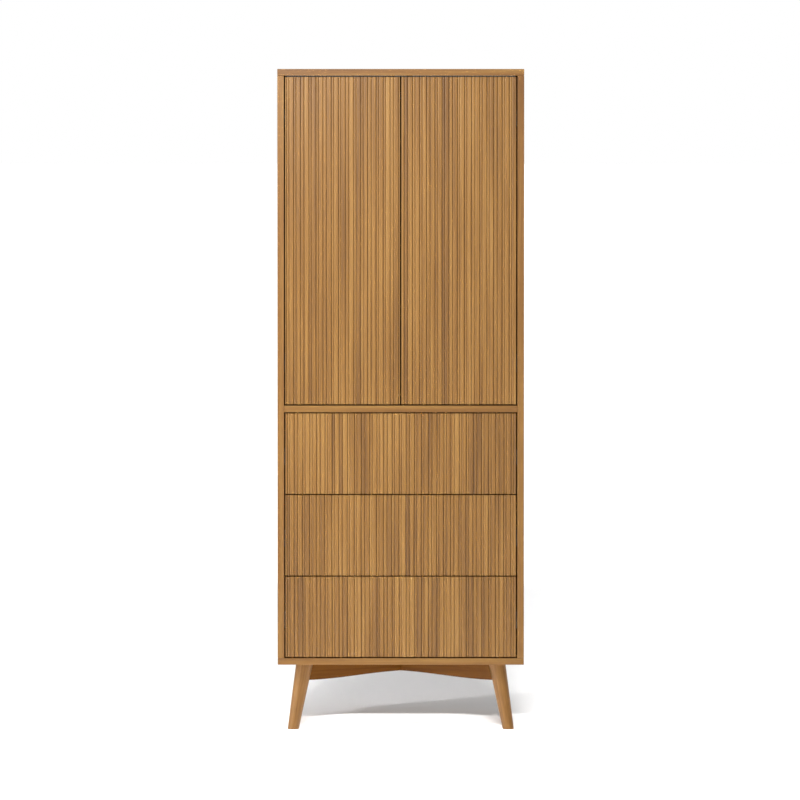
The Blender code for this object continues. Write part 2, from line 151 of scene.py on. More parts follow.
def woodMaterial(name, look):
    material, tree, shader = newMaterial(name)
    grain = addNode(tree, "ShaderNodeAttribute", {"attribute_name": "grain"}).outputs["Vector"]
    noises = {}
    for layer, detail, distortion in (("figure", 2.0, 0.0), ("band", 3.0, 0.4), ("pore", 2.0, 0.0)):
        across = 1 / look[layer + "Width"]
        size = (across, across, 1 / look[layer + "Length"])
        stretched = addNode(tree, "ShaderNodeMapping", links={"Vector": grain, "Scale": size})
        noises[layer] = addNode(tree, "ShaderNodeTexNoise",
                                links={"Vector": stretched, "Scale": 1.0, "Detail": detail,
                                       "Roughness": 0.55, "Distortion": distortion})

    # tone = figure and bands, and on fluted fronts each slat's own tone
    figure = addNode(tree, "ShaderNodeMath", {"operation": "MULTIPLY"},
                     {0: noises["figure"], 1: look["figureShare"]})
    wood = addNode(tree, "ShaderNodeMath", {"operation": "MULTIPLY_ADD"},
                   {0: noises["band"], 1: look["bandShare"], 2: figure})
    slat = addNode(tree, "ShaderNodeAttribute", {"attribute_name": "slatTone"}).outputs["Fac"]
    slatOffset = addNode(tree, "ShaderNodeMath", {"operation": "MULTIPLY"}, {0: slat, 1: look["slatShare"]})
    tone = addNode(tree, "ShaderNodeMath", {"operation": "ADD"}, {0: wood, 1: slatOffset})
    if "plyPitch" in look:
        # dark lines wherever a board is cut through
        depth = addNode(tree, "ShaderNodeAttribute", {"attribute_name": "plyDepth"}).outputs["Fac"]
        turns = addNode(tree, "ShaderNodeMath", {"operation": "MULTIPLY"},
                        {0: depth, 1: 2 * math.pi / look["plyPitch"]})
        wave = addNode(tree, "ShaderNodeMath", {"operation": "COSINE"}, {0: turns})
        ply = addNode(tree, "ShaderNodeMapRange", {"interpolation_type": "SMOOTHSTEP"},
                      {"Value": wave, "From Min": 0.0, "From Max": look["plyFade"], "To Min": 0.0,
                       "To Max": look["plyShade"]})
        tone = addNode(tree, "ShaderNodeMath", {"operation": "SUBTRACT"}, {0: tone, 1: ply})
    ramp = addNode(tree, "ShaderNodeValToRGB", links={"Fac": tone})
    setRamp(ramp, look["ramp"], look["colours"])

    # pores are thin dashes, darker and a little rougher than the wood round them
    faint, full = look["poreRange"]
    poreMask = addNode(tree, "ShaderNodeMapRange", {"interpolation_type": "SMOOTHSTEP"},
                       {"Value": noises["pore"], "From Min": faint, "From Max": full, "To Min": 0.0,
                        "To Max": 1.0})
    poreShade = addNode(tree, "ShaderNodeMath", {"operation": "MULTIPLY"},
                        {0: poreMask, 1: look["poreShade"]})
    darker = addNode(tree, "ShaderNodeMix", {"data_type": "RGBA", "blend_type": "MULTIPLY"},
                     {"Factor": poreShade, 6: ramp, 7: hexToLinear(look["poreTint"])})
    tree.links.new(darker.outputs[2], shader.inputs["Base Color"])
    rough = addNode(tree, "ShaderNodeMath", {"operation": "MULTIPLY_ADD"},
                    {0: poreMask, 1: look["poreRoughness"], 2: look["roughness"]})
    tree.links.new(rough.outputs[0], shader.inputs["Roughness"])
    hollow = addNode(tree, "ShaderNodeMath", {"operation": "SUBTRACT"}, {0: 1.0, 1: poreMask})
    bump = addNode(tree, "ShaderNodeBump",
                   links={"Strength": look["bump"], "Distance": look["poreDepth"], "Height": hollow})
    tree.links.new(bump.outputs[0], shader.inputs["Normal"])
    shader.inputs["Specular IOR Level"].default_value = look["gloss"]
    return material


# zinc-plated pressed steel: grey, slightly clouded, with soft blurred reflections
zincPlate = {"dark": "#7E8183", "light": "#939597", "roughness": 0.42, "roughnessSpread": 0.06,
             "lineScale": (900, 40, 900)}   # lines per metre: about 1 mm apart, drawn out along Y

# brushed steel tube: bright and fairly sharp in its reflections, with fine lines along X
brushedSteel = {"dark": "#A5A6A7", "light": "#CFCFCE", "roughness": 0.26, "roughnessSpread": 0.06,
                "lineScale": (30, 1200, 1200)}

# moulded ABS: an even grey with a fine spark-eroded grain, satin rather than shiny
mouldedPlastic = {"colour": "#8C8C8A", "roughness": 0.48, "grainSize": 0.0008, "bump": 0.15,
                  "grainDepth": 0.0001, "tint": (0.92, 1.04)}


def metalMaterial(name, look):
    # fine lines along one axis vary the roughness and the tone
    material, tree, shader = newMaterial(name)
    place = addNode(tree, "ShaderNodeTexCoord").outputs["Object"]
    lines = addNode(tree, "ShaderNodeMapping", links={"Vector": place, "Scale": look["lineScale"]})
    noise = addNode(tree, "ShaderNodeTexNoise", links={"Vector": lines, "Scale": 1.0, "Detail": 3.0})
    ramp = addNode(tree, "ShaderNodeValToRGB", links={"Fac": noise})
    setRamp(ramp, (0.3, 0.7), (look["dark"], look["light"]))
    tree.links.new(ramp.outputs[0], shader.inputs["Base Color"])
    spread = look["roughnessSpread"]
    rough = addNode(tree, "ShaderNodeMapRange",
                    links={"Value": noise, "To Min": look["roughness"] - spread,
                           "To Max": look["roughness"] + spread})
    tree.links.new(rough.outputs[0], shader.inputs["Roughness"])
    shader.inputs["Metallic"].default_value = 1.0
    return material


def plasticMaterial(name, look):
    material, tree, shader = newMaterial(name)
    place = addNode(tree, "ShaderNodeTexCoord").outputs["Object"]
    noise = addNode(tree, "ShaderNodeTexNoise",
                    links={"Vector": place, "Scale": 1 / look["grainSize"], "Detail": 2.0})
    bump = addNode(tree, "ShaderNodeBump",
                   links={"Strength": look["bump"], "Distance": look["grainDepth"], "Height": noise})
    tree.links.new(bump.outputs[0], shader.inputs["Normal"])
    darkest, lightest = look["tint"]
    tint = addNode(tree, "ShaderNodeMapRange", links={"Value": noise, "To Min": darkest, "To Max": lightest})
    shade = addNode(tree, "ShaderNodeVectorMath", {"operation": "SCALE"},
                    {0: hexToLinear(look["colour"])[:3], "Scale": tint})
    tree.links.new(shade.outputs[0], shader.inputs["Base Color"])
    shader.inputs["Roughness"].default_value = look["roughness"]
    return material


# every slot of the record, and the darker rail oak with painted shade that only the rails have
finishes = {
    "oak_veneer": woodMaterial("lacqueredOakVeneer", oakVeneer),
    "fluted_oak": woodMaterial("lacqueredFlutedOak", oakFluted),
    "solid_oak": woodMaterial("lacqueredTurnedOak", oakTurned),
    "rail_oak_shaded": woodMaterial("lacqueredHeartOak", oakRailsShaded),
    "back_board": woodMaterial("oakFacedBackBoard", oakBack),
    "drawer_plywood": woodMaterial("lacqueredBirchPlywood", birchPlywood),
    "zinc_steel": metalMaterial("zincPlatedSteel", zincPlate),
    "brushed_steel": metalMaterial("brushedSteelTube", brushedSteel),
    "latch_plastic": plasticMaterial("mouldedGreyPlastic", mouldedPlastic)}
print("stage 2: finishes made")

fit = 0.0003            # gap left between pieces that touch
sharpAngle = 35         # edges sharper than this stay crisp, in degrees
grainShift = 9          # metres of wood that boards are cut from, so that each has its own figure
pieces = []


def finishPiece(name, shape, slot, body, replaced=(), grainAxis=None, grainPlace=None, look=None):
    bmesh.ops.recalc_face_normals(shape, faces=shape.faces)
    mesh = bpy.data.meshes.new(name)
    shape.to_mesh(mesh)
    shape.free()
    mesh.shade_smooth()
    mesh.set_sharp_from_angle(angle=math.radians(sharpAngle))
    piece = bpy.data.objects.new(name, mesh)
    bpy.context.scene.collection.objects.link(piece)
    mesh.materials.append(finishes[look or slot])
    pieces.append(piece)
    if grainAxis:
        markGrain(piece, grainAxis, grainPlace)
    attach(piece, body)
    if replaced:
        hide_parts(*replaced)
    return piece


def markGrain(piece, axis, place=None):
    # stores where each point lies in the wood it was cut from
    order = {"X": (1, 2, 0), "Y": (0, 2, 1), "Z": (0, 1, 2)}[axis]
    draw = random.Random(piece.name)
    shift = Vector((draw.uniform(0, grainShift), draw.uniform(0, grainShift), draw.uniform(0, grainShift)))
    grain = piece.data.attributes.new("grain", "FLOAT_VECTOR", "POINT")
    for vertex, entry in zip(piece.data.vertices, grain.data):
        point = place @ vertex.co if place else vertex.co
        entry.vector = Vector([point[i] for i in order]) + shift


def markPlies(board, low, high):
    # distance from the board's lower face, moved on by one ply so that both faces come out light
    size = high - low
    thin = min(range(3), key=lambda i: size[i])
    plyDepth = board.data.attributes.new("plyDepth", "FLOAT", "POINT")
    for vertex, entry in zip(board.data.vertices, plyDepth.data):
        entry.value = vertex.co[thin] - low[thin] + birchPlywood["plyPitch"] / 2


def boxShape(low, high):
    shape = bmesh.new()
    bmesh.ops.create_cube(shape, size=1.0)
    bmesh.ops.scale(shape, vec=Vector(high) - Vector(low), verts=shape.verts)
    bmesh.ops.translate(shape, vec=(Vector(high) + Vector(low)) / 2, verts=shape.verts)
    return shape


def easeEdges(shape, width, segments=2, sharperThan=25):
    edges = [e for e in shape.edges if e.is_manifold and e.calc_face_angle() > math.radians(sharperThan)]
    bmesh.ops.bevel(shape, geom=edges, offset=width, segments=segments, profile=0.5, affect="EDGES",
                    clamp_overlap=True, material=-1)


def refinedShape(node):
    # a copy of the node's own shape, with its loose triangles merged back into flat faces
    shape = bmesh.new()
    shape.from_mesh(nodes[node].data)
    bmesh.ops.remove_doubles(shape, verts=shape.verts, dist=0.00002)
    bmesh.ops.dissolve_limit(shape, angle_limit=math.radians(1), verts=shape.verts, edges=shape.edges)
    return shape


def turnedShape(profile, steps=48):
    # spins (radius, height) points about Z
    shape = bmesh.new()
    points = [shape.verts.new((radius, 0, height)) for radius, height in profile]
    edges = [shape.edges.new(pair) for pair in zip(points, points[1:])]
    bmesh.ops.spin(shape, geom=points + edges, cent=(0, 0, 0), axis=(0, 0, 1), angle=2 * math.pi,
                   steps=steps, use_merge=True)
    bmesh.ops.remove_doubles(shape, verts=shape.verts, dist=0.000005)
    return shape


def turnTo(shape, direction, place):
    # sets a shape made along Z to point along a direction, at a place
    turn = Vector((0, 0, 1)).rotation_difference(Vector(direction)).to_matrix().to_4x4()
    bmesh.ops.transform(shape, matrix=Matrix.Translation(place) @ turn, verts=shape.verts)
    return shape


def cutAway(piece, shapes):
    # cuts shapes out of a piece and keeps the result as its mesh
    for shape in shapes:
        bmesh.ops.recalc_face_normals(shape, faces=shape.faces)
        mesh = bpy.data.meshes.new("cutter")
        shape.to_mesh(mesh)
        shape.free()
        cutter = bpy.data.objects.new("cutter", mesh)
        bpy.context.scene.collection.objects.link(cutter)
        cut = piece.modifiers.new("cut", "BOOLEAN")
        cut.operation = "DIFFERENCE"
        cut.object = cutter
    bpy.context.view_layer.update()
    evaluated = piece.evaluated_get(bpy.context.evaluated_depsgraph_get())
    result = bpy.data.meshes.new_from_object(evaluated)
    piece.modifiers.clear()
    piece.data = result
    for leftover in [o for o in bpy.data.objects if o.name.startswith("cutter")]:
        bpy.data.objects.remove(leftover)


# which way the grain runs in each board of the carcass
carcass = {"easing": 0.0008, "easingSegments": 3,
           "boards": {"top_panel": "X", "bottom_panel": "X", "middle_shelf": "X",
                      "side_panel_left": "Z", "side_panel_right": "Z", "back_panel": "Z"}}


def makeCarcass():
    for node, axis in carcass["boards"].items():
        shape = refinedShape(node) if node.startswith("side") else boxShape(*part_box(node))
        easeEdges(shape, carcass["easing"], carcass["easingSegments"])
        finishPiece(node + "_board", shape, slotOf[node], bodyOf[node], [node], grainAxis=axis)


fluting = {
    "grooveWidth": 0.0022, "floorShare": 0.30,
    "lipRound": 0.0015, "lipSegments": 4, "endChamfer": 0.0005,
    # one repeat: groove depth, then slat width up to the next groove
    "repeat": ((0.0036, 0.0096), (0.0028, 0.0132), (0.0036, 0.0068),
               (0.0020, 0.0125), (0.0036, 0.0067), (0.0020, 0.0120)),
    # the first deep groove, from each front's left edge
    "firstGroove": {"door_left": 0.0420, "door_right": 0.0080, "drawer_top_front": 0.0249,
                    "drawer_middle_front": 0.0238, "drawer_bottom_front": 0.0249},
    "toneSpread": 0.055}        # how far slats differ in tone

hingeCup = {"radius": 0.0175, "flange": 0.0012, "wall": 0.0012, "lip": 0.0004}


def groovePlaces(width, first):
    # centre and depth of each groove, from the front's left edge
    place = first - sum(slat for depth, slat in fluting["repeat"])
    places = []
    while place < width:
        for depth, slat in fluting["repeat"]:
            if fluting["grooveWidth"] < place < width - fluting["grooveWidth"]:
                places.append((place, depth))
            place += slat
    return places


def cupPockets(side, back):
    # the bored pockets that a door's two hinge cups sit in
    pockets = []
    for end in ("top", "bottom"):
        low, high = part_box("hinge_cup_" + side + "_" + end)
        radius = hingeCup["radius"] + fit
        depth = back - low.y + fit
        centre = Vector(((low.x + high.x) / 2, back - depth, (low.z + high.z) / 2))
        pocket = turnedShape([(0, 0), (radius, 0), (radius, 2 * depth), (0, 2 * depth)])
        pockets.append(turnTo(pocket, (0, 1, 0), centre))
    return pockets


def makeFlutedFront(node):
    low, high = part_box(node)
    near = 0.00001
    facing = 0.9        # of a face's normal along an axis
    chamfer = fluting["endChamfer"]
    shape = boxShape(low + Vector((0, 0, chamfer)), high - Vector((0, 0, chamfer)))
    places = groovePlaces(high.x - low.x, fluting["firstGroove"][node])
    grooves = [(low.x + place, depth) for place, depth in places]
    mouth = fluting["grooveWidth"] / 2
    floor = mouth * fluting["floorShare"]
    for centre, depth in grooves:
        for offset in (-mouth, -floor, floor, mouth):
            face = [f for f in shape.faces if f.normal.y < -facing]
            parts = list({v for f in face for v in f.verts}) + list({e for f in face for e in f.edges}) + face
            bmesh.ops.bisect_plane(shape, geom=parts, plane_co=(centre + offset, 0, 0), plane_no=(1, 0, 0))
    for centre, depth in grooves:
        lowered = [v for v in shape.verts if abs(v.co.x - centre) < floor + near and v.co.y < low.y + near]
        bmesh.ops.translate(shape, verts=lowered, vec=(0, depth, 0))
    shape.normal_update()

    # the grooves' lips and the front's four upright edges are rounded over
    corners = [e for e in shape.edges if abs(e.verts[0].co.z - e.verts[1].co.z) > chamfer
               and e.calc_face_angle() > math.radians(25)]
    lips = [e for e in corners if e.verts[0].co.y < low.y + near or e.verts[0].co.y > high.y - near]
    bmesh.ops.bevel(shape, geom=lips, offset=fluting["lipRound"], segments=fluting["lipSegments"],
                    profile=0.5, affect="EDGES", clamp_overlap=True, material=-1)
    for side in (-1, 1):
        ends = [f for f in shape.faces if f.normal.z * side > facing]
        bmesh.ops.inset_region(shape, faces=ends, thickness=chamfer, use_even_offset=True)
        cap = [f for f in shape.faces if f.normal.z * side > facing and len(f.verts) > 4]
        bmesh.ops.translate(shape, verts=list({v for f in cap for v in f.verts}), vec=(0, 0, side * chamfer))
    front = finishPiece(node + "_fluted", shape, slotOf[node], bodyOf[node], [node])
    if node.startswith("door"):
        cutAway(front, cupPockets(node.replace("door_", ""), high.y))
    markGrain(front, "Z")
    toneSlats(front, [centre for centre, depth in grooves])


def toneSlats(front, centres):
    # each slat is its own strip of oak, a little lighter or darker than its neighbours
    draw = random.Random(front.name)
    tones = [draw.gauss(0, fluting["toneSpread"]) for _ in range(len(centres) + 1)]
    slatTone = front.data.attributes.new("slatTone", "FLOAT", "FACE")
    for face, entry in zip(front.data.polygons, slatTone.data):
        entry.value = tones[sum(1 for centre in centres if centre < face.center.x)]


legs = {"topRadius": 0.0227, "footRadius": 0.0152, "inset": 0.0493,
        "splay": 0.171,         # how far a foot stands out sideways from the top of its leg
        "footEasing": 0.0012, "steps": 72}
rails = {"thickness": 0.028, "middleDepth": 0.0345, "endDepth": 0.0470, "curveReach": 0.300,
         "easing": 0.0015, "easingSegments": 3, "easedAbove": 40, "steps": 40}
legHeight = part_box("bottom_panel")[0].z


def legTop(signX, signY):
    inset = legs["inset"] + legs["topRadius"]
    return Vector((signX * (cadHigh.x - inset), signY * (cadHigh.y - inset), legHeight))


def legFrame(top):
    # the leg's own axes, in which Z runs up it, and its length
    run = legs["splay"] / abs(top.x)
    up = Vector((-top.x * run, -top.y * run, 1.0)).normalized()
    turn = Vector((0, 0, 1)).rotation_difference(up).to_matrix().to_4x4()
    return Matrix.Translation(top) @ turn, legHeight / up.z


def legShape(top, extra=0.0):
    # a straight taper, longer than the leg at both ends
    axes, length = legFrame(top)
    slope = (legs["topRadius"] - legs["footRadius"]) / length
    over = legs["topRadius"]
    profile = [(0, -length - over), (legs["footRadius"] - slope * over + extra, -length - over),
               (legs["topRadius"] + slope * over + extra, over), (0, over)]
    shape = turnedShape(profile, legs["steps"])
    bmesh.ops.transform(shape, matrix=axes, verts=shape.verts)
    return shape


def sawLevel(shape, height, keepBelow):
    parts = shape.verts[:] + shape.edges[:] + shape.faces[:]
    bmesh.ops.bisect_plane(shape, geom=parts, plane_co=(0, 0, height), plane_no=(0, 0, 1),
                           clear_outer=keepBelow, clear_inner=not keepBelow)
    rim = [e for e in shape.edges if e.is_boundary]
    return bmesh.ops.edgeloop_fill(shape, edges=rim)["faces"][0]


def makeLegs():
    for side, signX in (("left", -1), ("right", 1)):
        for end, signY in (("front", -1), ("back", 1)):
            node = "leg_" + end + "_" + side
            top = legTop(signX, signY)
            shape = legShape(top)
            sawLevel(shape, legHeight - fit, True)
            foot = sawLevel(shape, 0, False)
            bmesh.ops.bevel(shape, geom=foot.edges[:], offset=legs["footEasing"], segments=3, profile=0.5,
                            affect="EDGES", material=-1)
            finishPiece(node + "_turned", shape, slotOf[node], bodyOf[node], [node], grainAxis="Z",
                        grainPlace=legFrame(top)[0].inverted())


def makeRails():
    corner = legTop(1, 1)
    reach = math.hypot(corner.x, corner.y)
    angle = math.atan2(corner.y, corner.x)
    half = rails["thickness"] / 2
    middle = legHeight - rails["middleDepth"] / 2
    # one rail gives up its upper half where they cross, the other its lower half
    laps = {"cross_rail_lower": (1, middle - fit / 2, legHeight + half),
            "cross_rail_upper": (-1, legHeight - 3 * half, middle + fit / 2)}
    for node, (sign, lapLow, lapHigh) in laps.items():
        shape = boxShape((-reach, -half, middle), (reach, half, legHeight - fit))
        long = [e for e in shape.edges if abs(e.verts[0].co.x - e.verts[1].co.x) > reach]
        bmesh.ops.subdivide_edges(shape, edges=long, cuts=rails["steps"], use_grid_fill=True)
        for vertex in shape.verts:
            if vertex.co.z < middle + fit:
                share = min(abs(vertex.co.x) / rails["curveReach"], 1.0)
                swell = (1 - math.cos(math.pi * share)) / 2
                depth = rails["middleDepth"] + (rails["endDepth"] - rails["middleDepth"]) * swell
                vertex.co.z = legHeight - depth
        shape.normal_update()
        easeEdges(shape, rails["easing"], rails["easingSegments"], rails["easedAbove"])
        turn = Matrix.Rotation(sign * angle, 4, "Z")
        bmesh.ops.transform(shape, matrix=turn, verts=shape.verts)
        # the rails get the darker oak: painted shade for the shadow under the carcass
        rail = finishPiece(node + "_shaped", shape, slotOf[node], bodyOf[node], [node], look="rail_oak_shaded")
        lap = boxShape((-4 * half, -half - fit, lapLow), (4 * half, half + fit, lapHigh))
        bmesh.ops.transform(lap, matrix=Matrix.Rotation(-sign * angle, 4, "Z"), verts=lap.verts)
        cutAway(rail, [lap, legShape(legTop(1, sign), fit), legShape(legTop(-1, -sign), fit)])
        keepMiddle(rail)
        markGrain(rail, "X", turn.inverted())


def keepMiddle(rail):
    # drops the slivers that the coping leaves beyond the legs
    shape = bmesh.new()
    shape.from_mesh(rail.data)
    inner = min(shape.verts, key=lambda v: v.co.length_squared - v.co.z ** 2)
    kept = {inner}
    queue = [inner]
    while queue:
        vertex = queue.pop()
        for edge in vertex.link_edges:
            other = edge.other_vert(vertex)
            if other not in kept:
                kept.add(other)
                queue.append(other)
    bmesh.ops.delete(shape, geom=[v for v in shape.verts if v not in kept], context="VERTS")
    shape.to_mesh(rail.data)
    shape.free()


drawer = {"easing": 0.0010, "bottomEasing": 0.0004, "channelEasing": 0.0003,
          "grain": {"box_front": "X", "box_back": "X", "side_left": "Y", "side_right": "Y", "bottom": "X"}}


def makeDrawers():
    for place in ("top", "middle", "bottom"):
        stem = "drawer_" + place + "_"
        for part, axis in drawer["grain"].items():
            node = stem + part
            shape = boxShape(*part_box(node)) if part == "bottom" else refinedShape(node)
            easeEdges(shape, drawer["bottomEasing"] if part == "bottom" else drawer["easing"])
            board = finishPiece(node + "_board", shape, slotOf[node], bodyOf[node], [node], grainAxis=axis)
            markPlies(board, *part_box(node))
        for side in ("left", "right"):
            for kind in ("fixed", "sliding"):
                node = stem + "runner_" + kind + "_" + side
                shape = refinedShape(node)
                easeEdges(shape, drawer["channelEasing"])
                finishPiece(node + "_channel", shape, slotOf[node], bodyOf[node], [node])


hingeArm = {"easing": 0.0005, "plate": 0.0025, "height": 0.0125,
            "wingBack": 0.051, "wingRise": 0.0175,      # its two screws, from the tip and the middle
            "adjusterBack": (0.044, 0.068)}


def makeHinges():
    radius, wall = hingeCup["radius"], hingeCup["wall"]
    flange, lip = hingeCup["flange"], hingeCup["lip"]
    for side in ("left", "right"):
        for end in ("top", "bottom"):
            node = "hinge_cup_" + side + "_" + end
            low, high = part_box(node)
            depth = high.y - low.y
            edge = (high.x - low.x) / 2
            profile = [(0, 0), (radius - lip, 0), (radius, lip), (radius, depth - flange),
                       (edge - lip, depth - flange), (edge, depth - flange + lip), (edge - lip, depth),
                       (radius - wall + lip, depth), (radius - wall, depth - lip), (radius - wall, wall),
                       (0, wall)]
            centre = Vector(((low.x + high.x) / 2, low.y, (low.z + high.z) / 2))
            shape = turnTo(turnedShape(profile), (0, 1, 0), centre)
            finishPiece(node + "_pressed", shape, slotOf[node], bodyOf[node], [node])
            node = "hinge_arm_" + side + "_" + end
            shape = refinedShape(node)
            easeEdges(shape, hingeArm["easing"])
            finishPiece(node + "_formed", shape, slotOf[node], bodyOf[node], [node])


hangingRail = {"wall": 0.0015, "lip": 0.0003}
railSocket = {"plate": 0.0025, "wall": 0.0025, "lip": 0.0006,
              "screwReach": 0.83, "screwTurns": (90, 210, 330)}     # share of its radius, and degrees


def makeHangingRail():
    node = "hanging_rail"
    low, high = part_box(node)
    radius, length = (high.z - low.z) / 2, high.x - low.x
    wall, lip = hangingRail["wall"], hangingRail["lip"]
    profile = [(radius - wall, 0), (radius - lip, 0), (radius, lip), (radius, length - lip),
               (radius - lip, length), (radius - wall, length), (radius - wall, 0)]
    centre = Vector((low.x, (low.y + high.y) / 2, (low.z + high.z) / 2))
    shape = turnTo(turnedShape(profile), (1, 0, 0), centre)
    finishPiece(node + "_tube", shape, slotOf[node], bodyOf[node], [node])

    clear = radius + fit
    outer = clear + railSocket["wall"]
    plate, lip = railSocket["plate"], railSocket["lip"]
    for side, sign in (("left", -1), ("right", 1)):
        node = "rail_socket_" + side
        low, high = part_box(node)
        flange, reach = (high.z - low.z) / 2, high.x - low.x
        profile = [(0, 0), (flange, 0), (flange, plate - lip), (flange - lip, plate), (outer, plate),
                   (outer, reach - lip), (outer - lip, reach), (clear, reach), (clear, plate), (0, plate)]
        wallSide = low.x if sign < 0 else high.x
        shape = turnTo(turnedShape(profile), (-sign, 0, 0), Vector((wallSide, centre.y, centre.z)))
        finishPiece(node + "_cup", shape, slotOf[node], bodyOf[node], [node])


latch = {"easing": 0.0015, "easingSegments": 3, "boreEnd": 0.005, "screwFromBack": 0.010,
         # rounded nose, then a shallow ring: step in radius and distance from the tip
         "nose": ((-0.0014, 0), (-0.0004, 0.0004), (0, 0.0014)),
         "ring": ((0, 0.0040), (-0.0005, 0.0044), (-0.0005, 0.0052), (0, 0.0056))}


def makeLatches():
    for side in ("left", "right"):
        node = "latch_housing_" + side
        low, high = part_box(node)
        shape = boxShape(low, high)
        easeEdges(shape, latch["easing"], latch["easingSegments"])
        housing = finishPiece(node + "_shell", shape, slotOf[node], bodyOf[node], [node])
        tipLow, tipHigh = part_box("latch_plunger_" + side)
        radius, length = (tipHigh.x - tipLow.x) / 2, tipHigh.y - tipLow.y
        bore, end = radius + fit, length + latch["boreEnd"]
        centre = Vector(((low.x + high.x) / 2, tipLow.y, (low.z + high.z) / 2))
        hole = turnedShape([(0, 0), (bore, 0), (bore, end), (0, end)])
        cutAway(housing, [turnTo(hole, (0, 1, 0), centre)])
        node = "latch_plunger_" + side
        profile = [(0, 0)] + [(radius + step, back) for step, back in latch["nose"] + latch["ring"]]
        profile += [(radius, length), (0, length)]
        shape = turnTo(turnedShape(profile), (0, 1, 0), centre)
        finishPiece(node + "_tip", shape, slotOf[node], bodyOf[node], [node])


screws = {"steps": 20, "sink": 0.0001,
          # shares of a head's height or radius: its shoulder, its crown, its socket's floor
          "shoulder": 0.4, "crown": 0.8, "socketFloor": 0.3, "socketTaper": 0.8,
          # radius, height and socket radius of each kind of head
          "wing": (0.0038, 0.0012, 0.0016), "adjuster": (0.0030, 0.0010, 0.0014),
          "panel": (0.0036, 0.0006, 0.0014), "board": (0.0034, 0.0006, 0.0014),
          "small": (0.0028, 0.0010, 0.0012)}


def makeScrews(name, body, heads):
    # one piece of several heads, each given as kind, place and direction
    group = bmesh.new()
    sink = screws["sink"]
    for kind, place, direction in heads:
        radius, height, socket = screws[kind]
        direction = Vector(direction)
        floor = height * screws["socketFloor"]
        profile = [(0, 0), (radius, 0), (radius, height * screws["shoulder"]),
                   (radius * screws["crown"], height), (socket, height),
                   (socket * screws["socketTaper"], floor), (0, floor)]
        head = turnTo(turnedShape(profile, screws["steps"]), direction, Vector(place) - direction * sink)
        bmesh.ops.recalc_face_normals(head, faces=head.faces)
        mesh = bpy.data.meshes.new("screw")
        head.to_mesh(mesh)
        head.free()
        group.from_mesh(mesh)
        bpy.data.meshes.remove(mesh)
    finishPiece(name, group, "zinc_steel", body)


def makeCarcassScrews():
    for side, inward in (("left", 1), ("right", -1)):
        heads = []
        for end in ("top", "bottom"):
            low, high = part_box("hinge_arm_" + side + "_" + end)
            wall = low.x if inward > 0 else high.x
            middle = (low.z + high.z) / 2
            for rise in (-hingeArm["wingRise"], hingeArm["wingRise"]):
                place = (wall + inward * hingeArm["plate"], low.y + hingeArm["wingBack"], middle + rise)
                heads.append(("wing", place, (inward, 0, 0)))
            for back in hingeArm["adjusterBack"]:
                place = (wall + inward * hingeArm["height"], low.y + back, middle)
                heads.append(("adjuster", place, (inward, 0, 0)))
        low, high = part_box("rail_socket_" + side)
        centre = (low + high) / 2
        wall = low.x if inward > 0 else high.x
        reach = (high.z - low.z) / 2 * railSocket["screwReach"]
        for turn in railSocket["screwTurns"]:
            place = (wall + inward * railSocket["plate"], centre.y + reach * math.cos(math.radians(turn)),
                     centre.z + reach * math.sin(math.radians(turn)))
            heads.append(("small", place, (inward, 0, 0)))
        low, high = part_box("latch_housing_" + side)
        place = ((low.x + high.x) / 2, high.y - latch["screwFromBack"], low.z)
        heads.append(("small", place, (0, 0, -1)))
        makeScrews("carcass_screws_" + side, "carcass", heads)


backScrews = {"inset": 0.0125, "rows": 7, "columns": 4}


def makeBackScrews():
    # round the back panel's edges and into the fixed shelf
    low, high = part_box("back_panel")
    shelfLow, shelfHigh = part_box("middle_shelf")
    inset, rows, columns = backScrews["inset"], backScrews["rows"], backScrews["columns"]
    heads = []
    for row in range(rows):
        z = low.z + inset + (high.z - low.z - 2 * inset) * row / (rows - 1)
        heads += [("panel", (x, high.y, z), (0, 1, 0)) for x in (low.x + inset, high.x - inset)]
    for z in (low.z + inset, (shelfLow.z + shelfHigh.z) / 2, high.z - inset):
        for column in range(1, columns):
            x = low.x + (high.x - low.x) * column / columns
            heads.append(("panel", (x, high.y, z), (0, 1, 0)))
    makeScrews("back_panel_screws", "carcass", heads)


drawerScrews = {"rises": (0.024, 0.136), "frontPlaces": (0.10, 0.24), "frontRise": 0.08, "board": 0.012}
runnerRib = {"width": 0.014, "height": 0.0012, "sheet": 0.0015, "end": 0.012,
             "rounding": 0.8,       # share of its height
             "screwPlaces": (0.04, 0.20, 0.36)}


def makeRunnerRib(name, low, high, sign, body):
    # a pressed rib that stiffens the sliding channel; gives back its outer face
    web = low.x + runnerRib["sheet"] if sign > 0 else high.x - runnerRib["sheet"]
    crown = web + sign * runnerRib["height"]
    middle, half, end = (low.z + high.z) / 2, runnerRib["width"] / 2, runnerRib["end"]
    rib = boxShape((min(web, crown), low.y + end, middle - half),
                   (max(web, crown), high.y - end, middle + half))
    crest = [e for e in rib.edges if all(abs(v.co.x - crown) < 0.0001 for v in e.verts)]
    bmesh.ops.bevel(rib, geom=crest, offset=runnerRib["height"] * runnerRib["rounding"], segments=3,
                    profile=0.5, affect="EDGES", material=-1)
    finishPiece(name, rib, "zinc_steel", body)
    return crown


